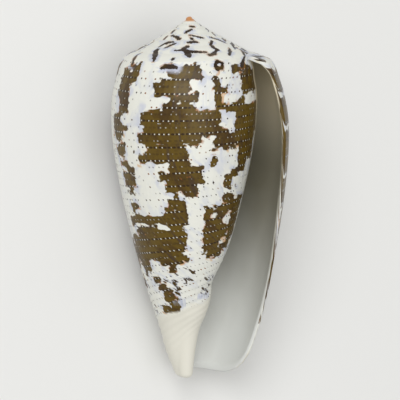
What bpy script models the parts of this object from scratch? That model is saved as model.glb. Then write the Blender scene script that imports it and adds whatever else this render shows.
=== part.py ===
"""A cone shell (a sea snail's shell) at its real size, lying on its back with the aperture up.

The shell is one wall coiled round an axis. It is worked out in shell coordinates first:
  turn    degrees round the axis, counted back from the edge of the outer lip (0) towards the apex
  depth   distance from the apex along the axis, towards the narrow end
  radius  distance from the axis
and is then laid down in the row frame: +Y towards the apex, +X towards the outer lip, +Z up.
"""

import math

import bmesh
import bpy
from mathutils import Matrix, Vector

MM = 0.001

# Driving dimensions, in millimetres unless the name says otherwise.
LENGTH = 60.0  # apex to the tip of the columella
WALL = 1.25  # thickness of the last whorl
LIP_EDGE = 0.6  # thickness at the edge of the outer lip and round the narrow end
LIP_TAPER_DEG = 50.0  # turn over which the lip grows to the full wall
END_TAPER = 9.0  # depth over which the wall thins again to the narrow end
RIM_CROWN = 0.24  # how far the middle of the rounded edge stands out

# The spire: the suture's radius falls with the turn, and its depth follows from the radius.
SUTURE_AT_LIP = 10.05
TURNS_TO_APEX = 8.05
SPIRE_POWER = 1.6
SPIRE_SLOPE = 0.55
APEX_HEIGHT = 0.65  # how far the apex stands up from the spire's slope
APEX_RADIUS = 1.5
SHOULDER_FLARE = 1.3  # how far the lip's shoulder stands out beyond the spire's law
FLARE_FROM_DEG = -159.0
RAMP_HOLLOW = 1.4  # above 1 the ramp between two sutures is hollow
SPIRE_END_TURNS = 6.5  # a dome closes the coil here

# Distance of the outer surface from the axis against depth: on the side of the lip, and half a turn back.
SIDE_OF_LIP_DEG = 21.0
HALF_TURN_DEG = 180.0
LIP_PROFILE = [(6.9, 13.3), (8.0, 13.95), (10.0, 14.55), (12.6, 15.3), (16.6, 15.95), (22.0, 15.95),
               (30.0, 15.1), (38.0, 13.75), (46.0, 12.15), (52.0, 10.75), (56.0, 9.5), (59.6, 7.9)]
LEFT_PROFILE = [(6.9, 10.95), (8.0, 11.6), (10.0, 12.15), (12.6, 12.8), (16.6, 13.05), (22.0, 12.7),
                (30.0, 11.3), (38.0, 9.4), (46.0, 7.0), (52.0, 4.85), (56.0, 3.55), (59.6, 1.8)]
SHRINK_PER_HALF_TURN = 0.8
SHOULDER_BLEND = 2.4  # depth over which the shoulder passes into the profiles

# The columella, the pillar round the axis: the least radius against depth, and its lean to one side.
PILLAR_PROFILE = [(20.0, 1.2), (38.0, 2.2), (45.0, 3.5), (48.5, 3.1), (52.0, 1.9), (60.0, 1.0)]
PILLAR_BLEND = 0.3  # how softly the surface runs into the pillar
TIP_SHIFT = (-1.15, -0.2)  # how far its tip leans over from the axis
LEAN_FROM = 36.0

# Depth of the open edge at the narrow end against turn.
END_EDGE = [(0.0, 56.8), (12.0, 58.0), (30.0, 59.3), (52.0, 59.5), (80.0, 59.2), (112.0, 59.0),
            (150.0, 59.0), (290.0, 59.2), (360.0, 59.1), (540.0, 59.0)]

# The edge of the lip is drawn back as it nears the narrow end.
LIP_SWEEP_DEG = 25.0
LIP_SWEEP_FROM = 28.0
LIP_SWEEP_FADES_DEG = 130.0

# The chamber that the aperture opens into. Past FLOOR_EDGE's first turn it has a floor.
CHAMBER_DEG = 345.0
FLOOR_EDGE = [(172.5, 59.0), (200.0, 54.5), (240.0, 48.0), (291.0, 43.0), (345.0, 40.0), (400.0, 38.0)]
ROOF_ROUND = 2.3
FLOOR_ROUND = 3.2
LEAST_GAP = 0.35

# How the shell lies: rolled and tipped to where its centre of mass is lowest, on a place rubbed slightly flat.
REST_ROLL_DEG = -20.7
REST_PITCH_DEG = 6.0
REST_FLAT = 0.2

# Mesh steps.
COLUMNS = 48  # round one turn
RAMP_ROWS = 3  # across the ramp between two sutures
BODY_ROWS = 22  # down the side
ROOF_ROW = 2  # the row below the suture where the chamber's roof starts
ROOF_CROWDING = 0.4  # below 1 the rows lie closer under the roof
TOP_ROWS = [0.0, 0.45, 0.9, 1.5, 2.4, 3.6, 5.0]  # depths of the first rows below the shoulder
TIP_RINGS = [0.8, 0.45]  # rings that round the end of the columella to its tip
APEX_RINGS = [0.6]  # the same for the dome at the apex

STEP_DEG = 360.0 / COLUMNS
CHAMBER_COLUMNS = round(CHAMBER_DEG / STEP_DEG)
FLOOR_COLUMN = round(FLOOR_EDGE[0][0] / STEP_DEG)
SPIRE_COLUMNS = round(SPIRE_END_TURNS * COLUMNS)


def smooth(t):
    """0 to 1 with flat ends."""
    t = min(1.0, max(0.0, t))
    return t * t * (3.0 - 2.0 * t)


def quarter_round(t):
    """0 to 1 along a quarter of a circle, steep at first."""
    return math.sqrt(max(0.0, 1.0 - (1.0 - min(1.0, t)) ** 2))


def curve_through(points, x):
    """A smooth curve through (x, y) points, straight beyond its ends."""
    last = len(points) - 1
    x_low, x_high = points[0][0], points[last][0]
    if x <= x_low or x >= x_high:
        a, b = (points[0], points[1]) if x <= x_low else (points[last], points[last - 1])
        return a[1] + (x - a[0]) * (b[1] - a[1]) / (b[0] - a[0])
    i = max(k for k in range(last) if points[k][0] <= x)
    before, a, b, after = points[max(0, i - 1)], points[i], points[i + 1], points[min(last, i + 2)]
    span = b[0] - a[0]
    rise_a = (b[1] - before[1]) / (b[0] - before[0]) * span
    rise_b = (after[1] - a[1]) / (after[0] - a[0]) * span
    t = (x - a[0]) / span
    return ((2 * t ** 3 - 3 * t ** 2 + 1) * a[1] + (t ** 3 - 2 * t ** 2 + t) * rise_a
            + (3 * t ** 2 - 2 * t ** 3) * b[1] + (t ** 3 - t ** 2) * rise_b)


def suture(turn):
    """(radius, depth) of the suture. A turn below 0 gives the shoulder, where a next whorl would join."""
    law = SUTURE_AT_LIP * max(0.0, 1.0 - turn / (360.0 * TURNS_TO_APEX)) ** SPIRE_POWER
    flare = SHOULDER_FLARE * smooth((FLARE_FROM_DEG - turn) / HALF_TURN_DEG)
    return law + flare, SPIRE_SLOPE * law + APEX_HEIGHT * (1.0 - math.exp(-law / APEX_RADIUS))


def lean(depth):
    """0 down to where the columella starts to lean, 1 at its tip."""
    return smooth((depth - LEAN_FROM) / (LENGTH - LEAN_FROM))


def growth(turn):
    """1 at the lip's side, 0 half a turn before it, and below 0 further back."""
    q = SHRINK_PER_HALF_TURN
    return (q ** ((turn - SIDE_OF_LIP_DEG) / HALF_TURN_DEG) - q) / (1.0 - q)


def profile_radius(turn, depth):
    """Radius from the two side profiles, measured from the leaning axis."""
    shift = TIP_SHIFT[0] * lean(depth)
    left = curve_through(LEFT_PROFILE, depth) + shift
    right = curve_through(LIP_PROFILE, depth) - shift
    return left + (right - left) * growth(turn)


def outer_radius(turn, depth):
    """Radius of the outer surface of the whorl, below its shoulder."""
    shoulder_radius, shoulder_depth = suture(turn - 360.0)
    missing = shoulder_radius - profile_radius(turn, shoulder_depth)
    radius = profile_radius(turn, depth)
    radius += missing * math.exp(-max(0.0, depth - shoulder_depth) / SHOULDER_BLEND)
    pillar = curve_through(PILLAR_PROFILE, max(depth, PILLAR_PROFILE[0][0]))
    over = radius - pillar
    return pillar + 0.5 * (over + math.sqrt(over * over + PILLAR_BLEND))


def swept(turn, depth):
    """Near the lip the surface draws back towards the narrow end."""
    sweep = LIP_SWEEP_DEG * smooth((depth - LIP_SWEEP_FROM) / (LENGTH - LIP_SWEEP_FROM))
    return turn + sweep * max(0.0, 1.0 - turn / LIP_SWEEP_FADES_DEG) ** 2


def row_depth(top, bottom, row):
    """Depth of a row: set steps below the top, then even steps down to the bottom."""
    if row < len(TOP_ROWS):
        return top + TOP_ROWS[row]
    first = top + TOP_ROWS[-1]
    return first + (bottom - first) * (row - len(TOP_ROWS) + 1) / (BODY_ROWS - len(TOP_ROWS) + 1)


def point(turn, radius, depth):
    angle = math.radians(turn - SIDE_OF_LIP_DEG)
    x = TIP_SHIFT[0] * lean(depth) + radius * math.cos(angle)
    y = TIP_SHIFT[1] * lean(depth) + radius * math.sin(angle)
    return Vector((x, y, -depth))


def ramp_point(column, row):
    """A point on the ramp between the suture (row 0) and the shoulder (the last row)."""
    turn = column * STEP_DEG
    inner, outer = suture(turn), suture(turn - 360.0)
    share = row / RAMP_ROWS
    radius = inner[0] + (outer[0] - inner[0]) * share
    return point(turn, radius, inner[1] + (outer[1] - inner[1]) * share ** RAMP_HOLLOW)


def body_point(column, row):
    """A point on the outside of the last whorl."""
    turn = column * STEP_DEG
    depth = row_depth(suture(turn - 360.0)[1], curve_through(END_EDGE, turn), row)
    turn = swept(turn, depth)
    return point(turn, outer_radius(turn, depth), depth)


def chamber_bottom(column, turn):
    """Where the chamber ends below: at the open edge at this turn, or at its own floor further back."""
    if column <= FLOOR_COLUMN:
        return curve_through(END_EDGE, turn)
    return curve_through(FLOOR_EDGE, column * STEP_DEG)


def parietal_point(column, row):
    """The older whorl's outer surface, which is the chamber's inner wall."""
    turn = column * STEP_DEG + 360.0
    depth = row_depth(suture(turn - 360.0)[1], chamber_bottom(column, turn), row)
    return point(turn, outer_radius(turn, depth), depth)


def wall_point(column, row):
    """The inside of the outer wall, rounded into a roof, and into a floor where the chamber has one."""
    turn = column * STEP_DEG
    top = suture(turn)[1] + TOP_ROWS[ROOF_ROW]
    bottom = chamber_bottom(column, turn)
    share = (row - ROOF_ROW) / (BODY_ROWS - ROOF_ROW)
    depth = top + (bottom - top) * share * (ROOF_CROWDING + (1.0 - ROOF_CROWDING) * share)
    turn = swept(turn, depth)
    thick = LIP_EDGE + (WALL - LIP_EDGE) * smooth(column * STEP_DEG / LIP_TAPER_DEG)
    thick += (LIP_EDGE - thick) * smooth((depth - LENGTH + END_TAPER) / END_TAPER)
    pillar = outer_radius(turn + 360.0, depth)
    opened = quarter_round((depth - top) / ROOF_ROUND)
    if column >= FLOOR_COLUMN:
        opened *= quarter_round((bottom - depth) / FLOOR_ROUND)
    gap = max(LEAST_GAP, outer_radius(turn, depth) - thick - pillar)
    return point(turn, pillar + gap * opened, depth)


class Skin:
    """The closed surface, with one vertex for each named place."""

    def __init__(self):
        self.mesh = bmesh.new()
        self.places = {}

    def vertex(self, key, place):
        if key not in self.places:
            self.places[key] = self.mesh.verts.new(place)
        return self.places[key]

    def face(self, *corners):
        kept = [corner for i, corner in enumerate(corners) if corner is not corners[i - 1]]
        if len(kept) > 2:
            self.mesh.faces.new(kept)

    def band(self, one, other):
        """Faces between two rows of as many vertices."""
        for i in range(len(one) - 1):
            self.face(one[i], one[i + 1], other[i + 1], other[i])


class Shell(Skin):
    """Names the places on the shell and joins them up."""

    def ramp(self, column, row):
        if row == RAMP_ROWS:
            return self.ramp(column - COLUMNS, 0) if column >= COLUMNS else self.body(column, 0)
        return self.vertex(("ramp", column, row), ramp_point(column, row))

    def body(self, column, row):
        if column == COLUMNS and row == 0:
            return self.ramp(0, 0)
        return self.vertex(("body", column, row), body_point(column, row))

    def parietal(self, column, row):
        if column == 0:
            return self.body(COLUMNS, row)
        return self.vertex(("parietal", column, row), parietal_point(column, row))

    def wall(self, column, row):
        if row == ROOF_ROW or (row == BODY_ROWS and column >= FLOOR_COLUMN):
            return self.parietal(column, row)
        return self.vertex(("wall", column, row), wall_point(column, row))

    def outside(self):
        for i in range(SPIRE_COLUMNS):
            self.band([self.ramp(i, j) for j in range(RAMP_ROWS + 1)],
                      [self.ramp(i + 1, j) for j in range(RAMP_ROWS + 1)])
        for i in range(COLUMNS):
            self.band([self.body(i, k) for k in range(BODY_ROWS + 1)],
                      [self.body(i + 1, k) for k in range(BODY_ROWS + 1)])

    def chamber(self):
        rows = range(ROOF_ROW, BODY_ROWS + 1)
        for i in range(CHAMBER_COLUMNS):
            self.band([self.parietal(i, k) for k in rows], [self.parietal(i + 1, k) for k in rows])
            self.band([self.wall(i + 1, k) for k in rows], [self.wall(i, k) for k in rows])
        self.band([self.parietal(CHAMBER_COLUMNS, k) for k in rows],
                  [self.wall(CHAMBER_COLUMNS, k) for k in rows])

    def rim(self):
        """The rounded edge of the lip and of the narrow end. Returns its last middle vertex."""
        ends = range(1, FLOOR_COLUMN + 1)
        outer = [(self.ramp(0, j), self.ramp(1, j)) for j in range(RAMP_ROWS)]
        outer += [(self.body(0, k), self.body(1, k)) for k in range(BODY_ROWS + 1)]
        outer += [(self.body(i, BODY_ROWS), self.body(i, BODY_ROWS - 1)) for i in ends]
        roof = [self.ramp(0, 0)] + 2 * [self.body(COLUMNS, 1)] + 2 * [self.body(COLUMNS, ROOF_ROW)]
        inner = roof + [self.wall(0, ROOF_ROW + 1)]
        inner += [self.wall(0, k) for k in range(ROOF_ROW + 1, BODY_ROWS + 1)]
        inner += [self.wall(i, BODY_ROWS) for i in ends]
        middle = [outer[0][0]]
        for n in range(1, len(outer)):
            edge, behind = outer[n]
            away = (edge.co - behind.co).normalized() * RIM_CROWN
            middle.append(self.vertex(("middle", n), (edge.co + inner[n].co) / 2 + away))
        self.band([edge for edge, behind in outer], middle)
        self.band(middle, inner)
        return middle[-1]

    def close(self, loop, tip, shares):
        """Round a loop of vertices off to a tip, through a ring at each share of the loop's width."""
        before = loop
        for share in shares:
            shrink = Vector((share, share, 1.0 - math.sqrt(1.0 - share * share)))
            ring = [self.mesh.verts.new(tip + (vertex.co - tip) * shrink) for vertex in loop]
            self.band(before + before[:1], ring + ring[:1])
            before = ring
        end = self.mesh.verts.new(tip)
        for one, other in zip(before, before[1:] + before[:1]):
            self.face(one, other, end)


def shell_mesh():
    shell = Shell()
    shell.outside()
    shell.chamber()
    corner = shell.rim()
    core = [shell.body(i, BODY_ROWS) for i in range(FLOOR_COLUMN, COLUMNS)]
    core += [shell.parietal(i, BODY_ROWS) for i in range(FLOOR_COLUMN + 1)] + [corner]
    shell.close(core, Vector((TIP_SHIFT[0], TIP_SHIFT[1], -LENGTH)), TIP_RINGS)
    top = [shell.ramp(i, 0) for i in range(SPIRE_COLUMNS, SPIRE_COLUMNS - COLUMNS - 1, -1)]
    top += [shell.ramp(SPIRE_COLUMNS, j) for j in range(RAMP_ROWS - 1, 0, -1)]
    shell.close(top, Vector((0.0, 0.0, 0.0)), APEX_RINGS)
    bmesh.ops.recalc_face_normals(shell.mesh, faces=shell.mesh.faces)
    return shell.mesh


def lay_down(surface):
    """Turn the shell on to its back, and put the row frame's origin under the middle of it."""
    turned = (Matrix.Rotation(math.radians(REST_PITCH_DEG), 4, "X")
              @ Matrix.Rotation(math.radians(REST_ROLL_DEG), 4, "Y")
              @ Matrix.Rotation(math.radians(-90.0), 4, "X") @ Matrix.Scale(MM, 4))
    surface.transform(turned)
    flat = min(v.co.z for v in surface.verts) + REST_FLAT * MM
    for v in surface.verts:
        v.co.z = max(v.co.z, flat)
    low = [min(v.co[axis] for v in surface.verts) for axis in range(3)]
    high = [max(v.co[axis] for v in surface.verts) for axis in range(3)]
    middle = Vector(((low[0] + high[0]) / 2, (low[1] + high[1]) / 2, low[2]))
    surface.transform(Matrix.Translation(-middle))


def shell_material():
    material = bpy.data.materials.new("patterned shell")
    material.use_nodes = True
    principled = material.node_tree.nodes["Principled BSDF"]
    principled.inputs["Base Color"].default_value = (0.42, 0.33, 0.2, 1.0)
    principled.inputs["Roughness"].default_value = 0.35
    principled.inputs["Metallic"].default_value = 0.0
    return material


def main():
    for old in list(bpy.data.objects):
        bpy.data.objects.remove(old, do_unlink=True)
    surface = shell_mesh()
    lay_down(surface)
    mesh = bpy.data.meshes.new("shell")
    surface.to_mesh(mesh)
    surface.free()
    mesh.shade_smooth()
    mesh.materials.append(shell_material())
    collection = bpy.data.collections.new("cone shell")
    bpy.context.scene.collection.children.link(collection)
    collection.objects.link(bpy.data.objects.new("shell", mesh))


main()
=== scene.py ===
"""The cone shell as it looks: its fine surface, its pattern, the floor, the lights and the camera.

Shell coordinates, in millimetres and degrees:
  turn    round the axis, counted back from the edge of the outer lip (0) towards the apex
  depth   from the apex along the axis, towards the narrow end
  radius  from the axis
The spiral rows of dots and dashes lie at steps of `down`, a depth that is corrected for their slope.
"""

import math

import bpy
import numpy as np
from mathutils import Matrix, Vector
from mathutils.bvhtree import BVHTree


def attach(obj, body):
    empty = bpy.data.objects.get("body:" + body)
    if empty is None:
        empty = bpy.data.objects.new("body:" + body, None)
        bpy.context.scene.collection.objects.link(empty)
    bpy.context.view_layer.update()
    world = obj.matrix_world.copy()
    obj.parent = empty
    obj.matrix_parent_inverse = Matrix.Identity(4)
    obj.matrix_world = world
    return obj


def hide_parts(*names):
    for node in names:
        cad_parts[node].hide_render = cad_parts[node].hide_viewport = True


MM = 0.001

# The shell's form, as its solid has it.
LENGTH = 60.0  # apex to the tip of the columella
WALL = 1.25  # thickness of the last whorl
LIP_EDGE = 0.6  # thickness at the edge of the outer lip and round the narrow end
LIP_TAPER_DEG = 50.0  # turn over which the lip grows to the full wall
END_TAPER = 9.0  # depth over which the wall thins again to the narrow end
RIM_CROWN = 0.24  # how far the middle of the rounded edge stands out

# The spire: the suture's radius falls with the turn, and its depth follows from the radius.
SUTURE_AT_LIP = 10.05
TURNS_TO_APEX = 8.05
SPIRE_POWER = 1.6
SPIRE_SLOPE = 0.55
APEX_HEIGHT = 0.65  # how far the apex stands up from the spire's slope
APEX_RADIUS = 1.5
SHOULDER_FLARE = 1.3  # how far the lip's shoulder stands out beyond the spire's law
FLARE_FROM_DEG = -159.0
RAMP_HOLLOW = 1.4  # above 1 the ramp between two sutures is hollow
SPIRE_END_TURNS = 7.4  # a dome closes the coil here

# Distance of the outer surface from the axis against depth, on the side of the lip and half a turn back.
SIDE_OF_LIP_DEG = 21.0
HALF_TURN_DEG = 180.0
LIP_PROFILE = [(6.9, 13.3), (8.0, 13.95), (10.0, 14.55), (12.6, 15.3), (16.6, 15.95), (22.0, 15.95),
               (30.0, 15.1), (38.0, 13.75), (46.0, 12.15), (52.0, 10.75), (56.0, 9.5), (59.6, 7.9)]
LEFT_PROFILE = [(6.9, 10.95), (8.0, 11.6), (10.0, 12.15), (12.6, 12.8), (16.6, 13.05), (22.0, 12.7),
                (30.0, 11.3), (38.0, 9.4), (46.0, 7.0), (52.0, 4.85), (56.0, 3.55), (59.6, 1.8)]
SHRINK_PER_HALF_TURN = 0.8
SHOULDER_BLEND = 2.4  # depth over which the shoulder passes into the profiles

# The columella, the pillar round the axis: the least radius against depth, and its lean to one side.
PILLAR_PROFILE = [(20.0, 1.2), (38.0, 2.2), (45.0, 3.5), (48.5, 3.1), (52.0, 1.9), (60.0, 1.0)]
PILLAR_BLEND = 0.3  # how softly the surface runs into the pillar
TIP_SHIFT = (-1.15, -0.2)  # how far its tip leans over from the axis
LEAN_FROM = 36.0

# Depth of the open edge at the narrow end against turn. Its corner at the lip is rounder than the solid's.
END_EDGE = [(0.0, 55.5), (2.0, 56.5), (6.0, 57.5), (12.0, 58.35), (20.0, 58.95), (32.0, 59.35),
            (52.0, 59.5), (80.0, 59.2), (112.0, 59.0), (150.0, 59.0), (290.0, 59.2), (360.0, 59.1),
            (540.0, 59.0)]

# The edge of the lip is drawn back as it nears the narrow end.
LIP_SWEEP_DEG = 25.0
LIP_SWEEP_FROM = 28.0
LIP_SWEEP_FADES_DEG = 130.0

# The chamber that the aperture opens into. Past FLOOR_EDGE's first turn it has a floor.
CHAMBER_DEG = 345.0
FLOOR_EDGE = [(172.5, 59.0), (200.0, 54.5), (240.0, 48.0), (291.0, 43.0), (345.0, 40.0), (400.0, 38.0)]
ROOF_ROUND = 2.3
FLOOR_ROUND = 3.2
LEAST_GAP = 0.35

# How the shell lies: rolled and tipped to where its centre of mass is lowest, on a slightly flat place.
REST_ROLL_DEG = -20.7
REST_PITCH_DEG = 6.0
REST_FLAT = 0.2

# The fine mesh: columns a turn, rows, and how many of them one face of the chamber spans.
COLUMNS = 264
RAMP_ROWS = 8
BODY_ROWS = 160
ROW_PLAN = [(0.0, 0.0), (0.08, 0.03), (0.52, 0.52), (1.0, 1.0)]
ROOF_ROW = 8
STRIDE = 2
ROOF_CROWDING = 0.4
TIP_RINGS = [0.12, 0.25, 0.39, 0.54, 0.7, 0.86]
APEX_RINGS = [0.25, 0.5, 0.75]
END_FULLNESS = 0.95  # 1 for ends that start straight, less for ones that close in at once
STEP_DEG = 360.0 / COLUMNS
CHAMBER_COLUMNS = STRIDE * round(CHAMBER_DEG / STEP_DEG / STRIDE)
FLOOR_COLUMN = STRIDE * round(FLOOR_EDGE[0][0] / STEP_DEG / STRIDE)
SPIRE_COLUMNS = round(SPIRE_END_TURNS * COLUMNS)

# The rows of dots: their spacing, and how they climb towards the apex as the turn goes up.
ROW_SPACING = 1.15
ROW_LEVEL_DEG = 200.0
ROW_CLIMB = 0.0009
ROW_CLIMB_FROM = 12.0

# The brown blotches: from and to in degrees of turn, top and bottom in millimetres of depth.
BLOTCHES = {
    "back, upper left": [
        (87, 97, 7.8, 9.4), (82, 95, 9.2, 11.9), (83, 94, 12.3, 14.3), (87, 95, 11.4, 15.0),
        (90, 96.5, 14.5, 18.0), (65, 98, 18.0, 19.8), (74, 89, 17.4, 18.6), (73, 90, 19.5, 24.3),
        (90, 99, 19.5, 21.4), (95.5, 99, 21.0, 24.2), (66, 82, 23.4, 24.6), (89.5, 98, 23.4, 28.0),
        (80, 91, 26.3, 28.0), (89, 96, 27.5, 32.5), (89, 101, 32.2, 34.2)],
    "back, slanting bar and hook": [
        (98, 111, 21.2, 22.4), (107, 119, 20.5, 21.5), (116, 127, 19.8, 20.7), (113, 120, 17.1, 18.4),
        (118, 124, 17.3, 18.9), (121, 130, 18.4, 19.7)],
    "back, upper middle": [
        (113, 118, 7.9, 9.3), (118, 126, 9.0, 10.1), (113, 120, 10.3, 11.6)],
    "back, middle": [
        (137, 153, 7.9, 10.9), (134, 142, 11.6, 12.4), (147, 151, 12.0, 14.0), (138, 150, 13.4, 14.4),
        (142, 147, 15.0, 15.9), (137, 161, 16.7, 18.1), (144, 161, 17.9, 20.4), (136, 147, 20.1, 23.4),
        (146, 161, 20.1, 22.3), (121, 137, 22.0, 23.7), (154.5, 161.5, 22.0, 24.6), (142, 162, 24.3, 25.6),
        (139, 162, 25.2, 26.7), (150, 162, 26.5, 29.3), (145, 162, 29.1, 31.3), (149, 157, 31.2, 32.8)],
    "back, right": [
        (169, 177, 7.2, 8.2), (182, 190, 8.2, 9.0), (186, 201, 9.0, 10.3), (199, 208, 7.6, 9.2),
        (181, 187, 12.9, 13.7), (184, 193, 12.0, 12.7), (190, 198, 13.2, 13.8), (185, 192, 14.3, 15.1),
        (171, 198, 15.9, 18.4), (170, 195, 18.2, 20.5), (169, 194, 20.2, 22.0), (173, 186, 21.8, 23.3),
        (185, 194, 21.8, 25.2), (169, 188, 24.3, 25.3), (169, 182, 27.4, 29.0), (174, 179, 28.5, 30.0)],
    "back, lower middle": [
        (112, 124, 38.9, 40.3), (118, 137, 38.2, 40.0), (130, 150, 37.5, 39.8), (137, 151, 39.0, 47.0),
        (123, 138, 40.9, 46.6), (103, 125, 42.5, 46.8), (100, 107, 40.6, 43.0), (102, 117, 45.8, 49.3),
        (116, 121, 46.0, 48.3), (141, 152, 47.0, 47.8), (150, 165, 45.6, 46.3)],
    "back, lower left": [
        (58, 97, 39.0, 40.2), (63, 96, 40.0, 41.0), (75, 93, 42.1, 43.3), (87, 94, 40.8, 43.2),
        (64, 79, 43.6, 46.0), (60, 85, 45.0, 47.6), (61, 85, 47.2, 48.7), (64, 84, 48.3, 49.9),
        (91, 99, 43.2, 43.9)],
    "back, lower right": [
        (169, 184, 35.5, 37.0), (182, 192, 35.0, 36.0), (169, 180, 36.8, 42.0), (179, 209, 38.3, 40.3),
        (192, 207, 36.8, 38.6), (180, 205, 40.2, 41.6), (170, 176, 41.5, 45.0), (172, 190, 43.2, 44.2),
        (188, 205, 43.0, 44.6)],
    "left side, upper": [
        (231, 244, 7.0, 8.2), (224, 243, 8.0, 10.0), (222, 237, 9.8, 12.7), (225, 237, 12.4, 14.8),
        (214, 226, 15.4, 18.0), (215, 230, 17.0, 18.7), (229, 237, 17.2, 18.0), (217, 227, 18.4, 19.9),
        (219, 231, 20.3, 22.0), (221, 233, 23.1, 23.9), (231, 239, 23.8, 25.2), (224, 238, 25.0, 27.2),
        (229, 234, 27.0, 28.5), (227, 236, 30.2, 31.0)],
    "front, upper": [
        (272, 300, 7.1, 9.2), (266, 290, 9.0, 10.0), (262, 290, 10.0, 11.7), (276, 297, 11.6, 13.2),
        (270, 296, 12.9, 14.6), (250, 312, 14.5, 16.4), (254, 311, 16.2, 18.4), (248, 300, 18.1, 19.8),
        (257, 288, 19.6, 21.4), (247, 273, 21.2, 22.8), (272, 288, 21.0, 24.6), (265, 300, 24.2, 25.5),
        (269, 290, 25.2, 27.6), (289, 300, 23.4, 26.2), (285, 296, 25.8, 28.4), (275, 280, 27.4, 28.8),
        (270, 285, 28.8, 30.6), (267, 287, 30.4, 33.6)],
    "front, lower": [
        (219, 270, 32.0, 33.2), (228, 256, 33.7, 35.1), (252, 284, 33.9, 36.0), (212, 285, 35.0, 37.2),
        (209, 283, 36.8, 39.2), (252, 286, 38.3, 39.9), (262, 270, 39.6, 41.0), (217, 232, 39.2, 42.0),
        (232, 243, 42.3, 43.4), (238, 250, 43.6, 44.3), (243, 262, 44.6, 46.3), (232, 251, 47.2, 48.6),
        (250, 267, 46.3, 48.3)],
    "by the aperture, upper": [
        (331, 346, 7.4, 8.5), (345, 359, 7.3, 8.8), (341, 369, 8.6, 11.8), (311, 316, 8.6, 10.4),
        (311, 323, 10.6, 11.6), (311, 317, 11.4, 14.5), (311, 331, 13.3, 14.4), (309, 316, 14.4, 17.4),
        (311, 324, 17.6, 19.2), (310, 331, 19.1, 20.6), (309, 313, 21.5, 23.2), (331, 342, 12.5, 18.5),
        (341, 369, 13.7, 18.5), (324, 342, 18.3, 19.9), (337, 363, 18.2, 22.8), (338, 350, 22.5, 24.8)],
    "by the aperture, lower": [
        (324, 332, 25.0, 27.4), (330, 339, 24.2, 25.2), (324, 340, 28.4, 29.7), (330, 360, 29.2, 31.2),
        (305, 342, 30.1, 31.3), (305, 311, 31.0, 37.2), (306, 328, 32.2, 37.8), (327, 340, 33.7, 35.3),
        (340, 350, 30.8, 37.6), (327, 350, 36.7, 38.0), (312, 336, 37.3, 38.8), (349, 360, 31.0, 36.0)],
    "along the edge of the lip": [
        (-3, 22, 8.6, 12.0), (-3, 18, 13.0, 17.4), (-3, 24, 18.2, 25.6), (0, 24, 26.4, 30.2),
        (8, 22, 31.4, 33.2), (6, 26, 34.8, 37.6), (11, 25, 38.8, 40.0), (12, 30, 41.2, 43.4),
        (15, 30, 45.0, 46.8), (18, 31, 48.4, 50.6)],
    "side of the lip": [
        (18, 33, 8.6, 14.0), (22, 30, 13.6, 17.0), (30, 50, 19.0, 21.6), (36, 46, 21.2, 25.6),
        (2, 26, 27.0, 30.0), (6, 17, 29.6, 34.5), (28, 44, 33.0, 35.4), (33, 47, 35.0, 37.8),
        (0, 20, 39.5, 43.5), (12, 34, 42.0, 44.6), (44, 57, 11.4, 14.2), (50, 61, 17.6, 18.9),
        (48, 56, 43.0, 46.0), (58, 69, 10.9, 12.0), (57, 64, 31.0, 33.2), (40, 52, 28.4, 30.2)],
}

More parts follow.
